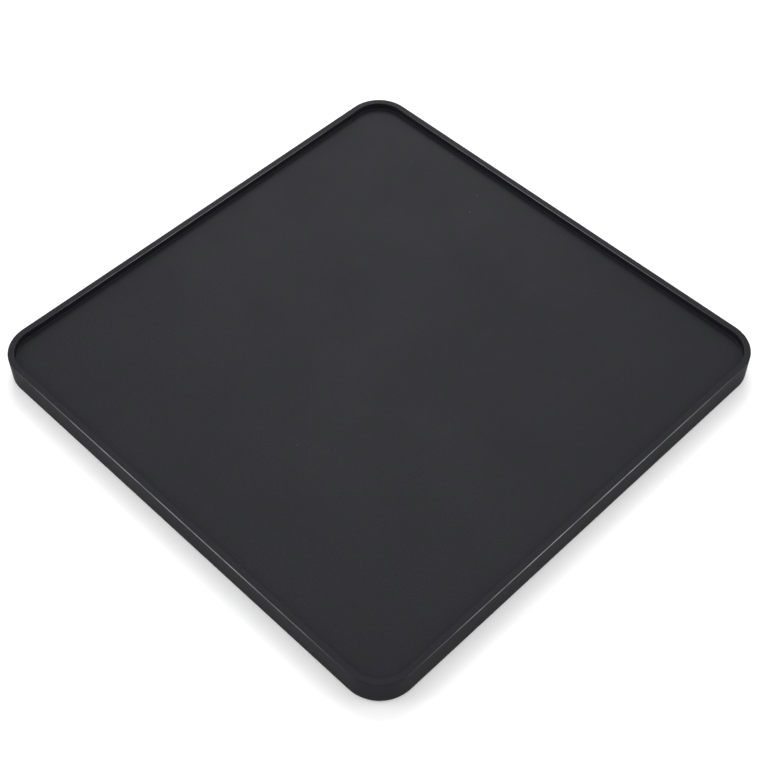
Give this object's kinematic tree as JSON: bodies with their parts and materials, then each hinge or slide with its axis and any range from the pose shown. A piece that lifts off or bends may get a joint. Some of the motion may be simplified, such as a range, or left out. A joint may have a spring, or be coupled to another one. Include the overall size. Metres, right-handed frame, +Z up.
{
  "type": "seedling heat mat",
  "caption": "Square black warming tray with a low raised rim, rounded corners and a flat heated floor for seed trays and pots.",
  "frame": {"origin": "on the surface that the mat stands on, under the middle of the square body", "axes": "+Z up out of the heated floor, +Y to the rear wall with the socket, +X to the right"},
  "size_m": [0.4, 0.4, 0.0224],
  "materials": {
    "moulded_tray": "matte",
    "moulded_cover": "matte",
    "foot_rubber": "matte",
    "gasket_silicone": "satin",
    "wire_silicone": "satin",
    "sheet_aluminium": "satin",
    "foil_aluminium": "gloss",
    "insulation_foam": "matte",
    "plated_steel": "satin",
    "bimetal_strip": "satin",
    "brass_parts": "satin",
    "phenolic": "satin",
    "nylon": "satin",
    "socket_black": "satin",
    "lead_red": "satin",
    "lead_black": "satin",
    "glass_sleeving": "matte"
  },
  "bodies": {
    "housing": {"top_tray": "moulded_tray", "base_cover": "moulded_cover", "perimeter_gasket": "gasket_silicone", "base_screw_front_left": "plated_steel", "base_screw_front_centre": "plated_steel", "base_screw_front_right": "plated_steel", "base_screw_middle_left": "plated_steel", "base_screw_middle_centre": "plated_steel", "base_screw_middle_right": "plated_steel", "base_screw_rear_left": "plated_steel", "base_screw_rear_centre": "plated_steel", "base_screw_rear_right": "plated_steel", "foot_front_left": "foot_rubber", "foot_front_right": "foot_rubber", "foot_rear_left": "foot_rubber", "foot_rear_right": "foot_rubber", "heat_spreader": "sheet_aluminium", "heating_wire": "wire_silicone", "wire_foil": "foil_aluminium", "insulation_board": "insulation_foam", "thermostat_base": "phenolic", "thermostat_cap": "sheet_aluminium", "thermostat_arm_terminal": "brass_parts", "thermostat_fixed_terminal": "brass_parts", "thermostat_strap": "plated_steel", "strap_screw_front": "plated_steel", "strap_screw_rear": "plated_steel", "thermal_fuse": "plated_steel", "fuse_sleeve": "glass_sleeving", "terminal_block": "nylon", "terminal_insert_front": "brass_parts", "terminal_insert_rear": "brass_parts", "clamp_screw_front_left": "plated_steel", "clamp_screw_front_right": "plated_steel", "clamp_screw_rear_left": "plated_steel", "clamp_screw_rear_right": "plated_steel", "terminal_block_screw": "plated_steel", "jack_body": "socket_black", "jack_pin": "brass_parts", "jack_seal": "foot_rubber", "jack_ring_nut": "plated_steel", "jack_tab_positive": "brass_parts", "jack_tab_negative": "brass_parts", "lead_jack_positive": "lead_red", "lead_jack_negative": "lead_black", "lead_block_fuse": "lead_red", "lead_fuse_thermostat": "lead_red", "lead_thermostat_heater": "lead_red", "lead_block_heater": "lead_black", "splice_left": "plated_steel", "splice_right": "plated_steel"},
    "contact_arm": {"bimetal_arm": "bimetal_strip", "moving_contact": "brass_parts"}
  },
  "joints": [
    {"name": "contact_arm_lift", "type": "hinge", "parent": "housing", "child": "contact_arm", "pos_m": [-0.069, 0.14, 0.0106], "axis": [0, -1, 0], "range_deg": [0, 4], "stiffness_Nm_per_rad": 0.002, "springref_deg": -2.86}
  ]
}
